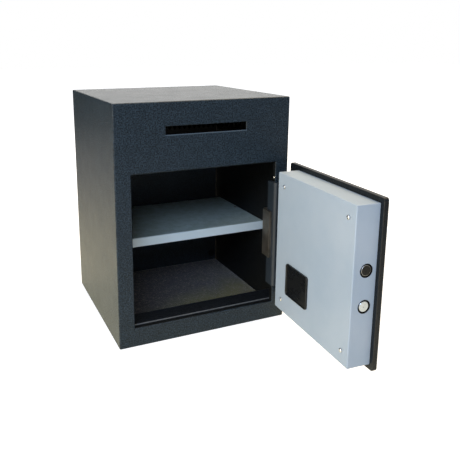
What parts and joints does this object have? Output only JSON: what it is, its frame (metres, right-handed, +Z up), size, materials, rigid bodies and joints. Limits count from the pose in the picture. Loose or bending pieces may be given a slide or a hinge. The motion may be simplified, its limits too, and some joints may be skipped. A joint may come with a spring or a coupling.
{
  "type": "deposit safe",
  "caption": "Sheet-steel deposit safe with a posting slot, a shelf and an inset door, open on a concealed gooseneck hinge, with sliding bolts, a turning knob and a keypad.",
  "frame": {"origin": "middle of the cabinet's underside, on the floor", "axes": "+Z up, -Y out of the front through the door opening, +X to the right as seen from the front, towards the hinge"},
  "size_m": [0.3832, 0.618, 0.455],
  "materials": {
    "charcoal_paint": "fine-textured charcoal powder coat",
    "guard_paint": "matt dark paint",
    "pale_paint": "satin pale blue-grey paint",
    "bright_steel": "bright machined steel",
    "dull_steel": "dull zinc-plated steel",
    "battery_jacket": "cell in a plain metallic jacket",
    "black_plastic": "fine-textured black moulding",
    "circuit_board": "glossy green laminate",
    "key_plastic": "satin pale grey",
    "lens": "clear green",
    "felt": "grey needled felt"
  },
  "bodies": {
    "cabinet": {"cabinet_shell": "charcoal_paint", "back_panel": "charcoal_paint", "back_plug_left": "black_plastic", "back_plug_right": "black_plastic", "frame_sill": "charcoal_paint", "frame_head": "charcoal_paint", "strike_jamb": "charcoal_paint", "hinge_lug_lower": "charcoal_paint", "hinge_lug_upper": "charcoal_paint", "hinge_pin": "bright_steel", "jamb_rivet": "bright_steel", "shelf": "pale_paint", "shelf_screw_left": "dull_steel", "shelf_screw_right": "dull_steel", "shelf_rail_left": "charcoal_paint", "shelf_rail_right": "charcoal_paint", "floor_mat": "felt", "slot_chute": "guard_paint", "fishing_guard": "guard_paint"},
    "door": {"door_plate": "charcoal_paint", "door_pan": "pale_paint", "pan_screw_1": "bright_steel", "pan_screw_2": "bright_steel", "pan_screw_3": "bright_steel", "pan_screw_4": "bright_steel", "hinge_arm": "charcoal_paint", "hinge_knuckle": "dull_steel", "bolt_guide": "dull_steel", "carriage_stud": "bright_steel", "solenoid_body": "dull_steel", "battery_tray": "black_plastic", "battery_1": "battery_jacket", "battery_2": "battery_jacket", "battery_3": "battery_jacket", "battery_4": "battery_jacket", "keypad_housing": "black_plastic", "keypad_board": "circuit_board", "status_lens": "lens"},
    "boltwork": {"bolt_carriage": "dull_steel", "bolt_lower": "bright_steel", "bolt_upper": "bright_steel"},
    "knob": {"knob": "black_plastic", "spindle": "bright_steel", "drive_cam": "dull_steel"},
    "plunger": {"solenoid_plunger": "bright_steel"},
    "battery_cover": {"battery_cover": "black_plastic"},
    "key_0": {"key_0": "key_plastic"},
    "key_1": {"key_1": "key_plastic"},
    "key_2": {"key_2": "key_plastic"},
    "key_3": {"key_3": "key_plastic"},
    "key_4": {"key_4": "key_plastic"},
    "key_5": {"key_5": "key_plastic"},
    "key_6": {"key_6": "key_plastic"},
    "key_7": {"key_7": "key_plastic"},
    "key_8": {"key_8": "key_plastic"},
    "key_9": {"key_9": "key_plastic"},
    "key_clear": {"key_clear": "key_plastic"},
    "key_enter": {"key_enter": "key_plastic"}
  },
  "joints": [
    {"name": "door_swing", "type": "hinge", "parent": "cabinet", "child": "door", "pos_m": [0.167, -0.144, 0.1835], "axis": [0, 0, 1], "range_deg": [-86.7, 0]},
    {"name": "bolt_slide", "type": "slide", "parent": "door", "child": "boltwork", "axis": [-0.0576, -0.9983, 0], "range_m": [0, 0.015]},
    {"name": "knob_turn", "type": "hinge", "parent": "door", "child": "knob", "pos_m": [0.1729, -0.37172, 0.1822], "axis": [0.9983, -0.0576, 0], "range_deg": [0, 80]},
    {"name": "plunger_slide", "type": "slide", "parent": "door", "child": "plunger", "axis": [0, 0, 1], "range_m": [-0.006, 0], "stiffness_N_per_m": 150, "springref_m": 0.006},
    {"name": "battery_cover_slide", "type": "slide", "parent": "door", "child": "battery_cover", "axis": [-0.9983, 0.0576, 0], "range_m": [0, 0.015]},
    {"name": "key_0_press", "type": "slide", "parent": "door", "child": "key_0", "axis": [-0.9983, 0.0576, 0], "range_m": [0, 0.0012], "stiffness_N_per_m": 400, "springref_m": -0.0004},
    {"name": "key_1_press", "type": "slide", "parent": "door", "child": "key_1", "axis": [-0.9983, 0.0576, 0], "range_m": [0, 0.0012], "stiffness_N_per_m": 400, "springref_m": -0.0004},
    {"name": "key_2_press", "type": "slide", "parent": "door", "child": "key_2", "axis": [-0.9983, 0.0576, 0], "range_m": [0, 0.0012], "stiffness_N_per_m": 400, "springref_m": -0.0004},
    {"name": "key_3_press", "type": "slide", "parent": "door", "child": "key_3", "axis": [-0.9983, 0.0576, 0], "range_m": [0, 0.0012], "stiffness_N_per_m": 400, "springref_m": -0.0004},
    {"name": "key_4_press", "type": "slide", "parent": "door", "child": "key_4", "axis": [-0.9983, 0.0576, 0], "range_m": [0, 0.0012], "stiffness_N_per_m": 400, "springref_m": -0.0004},
    {"name": "key_5_press", "type": "slide", "parent": "door", "child": "key_5", "axis": [-0.9983, 0.0576, 0], "range_m": [0, 0.0012], "stiffness_N_per_m": 400, "springref_m": -0.0004},
    {"name": "key_6_press", "type": "slide", "parent": "door", "child": "key_6", "axis": [-0.9983, 0.0576, 0], "range_m": [0, 0.0012], "stiffness_N_per_m": 400, "springref_m": -0.0004},
    {"name": "key_7_press", "type": "slide", "parent": "door", "child": "key_7", "axis": [-0.9983, 0.0576, 0], "range_m": [0, 0.0012], "stiffness_N_per_m": 400, "springref_m": -0.0004},
    {"name": "key_8_press", "type": "slide", "parent": "door", "child": "key_8", "axis": [-0.9983, 0.0576, 0], "range_m": [0, 0.0012], "stiffness_N_per_m": 400, "springref_m": -0.0004},
    {"name": "key_9_press", "type": "slide", "parent": "door", "child": "key_9", "axis": [-0.9983, 0.0576, 0], "range_m": [0, 0.0012], "stiffness_N_per_m": 400, "springref_m": -0.0004},
    {"name": "key_clear_press", "type": "slide", "parent": "door", "child": "key_clear", "axis": [-0.9983, 0.0576, 0], "range_m": [0, 0.0012], "stiffness_N_per_m": 400, "springref_m": -0.0004},
    {"name": "key_enter_press", "type": "slide", "parent": "door", "child": "key_enter", "axis": [-0.9983, 0.0576, 0], "range_m": [0, 0.0012], "stiffness_N_per_m": 400, "springref_m": -0.0004}
  ],
  "couplings": [
    {"joint": "knob_turn", "follows": "bolt_slide", "rad_per_m": 93.08}
  ]
}
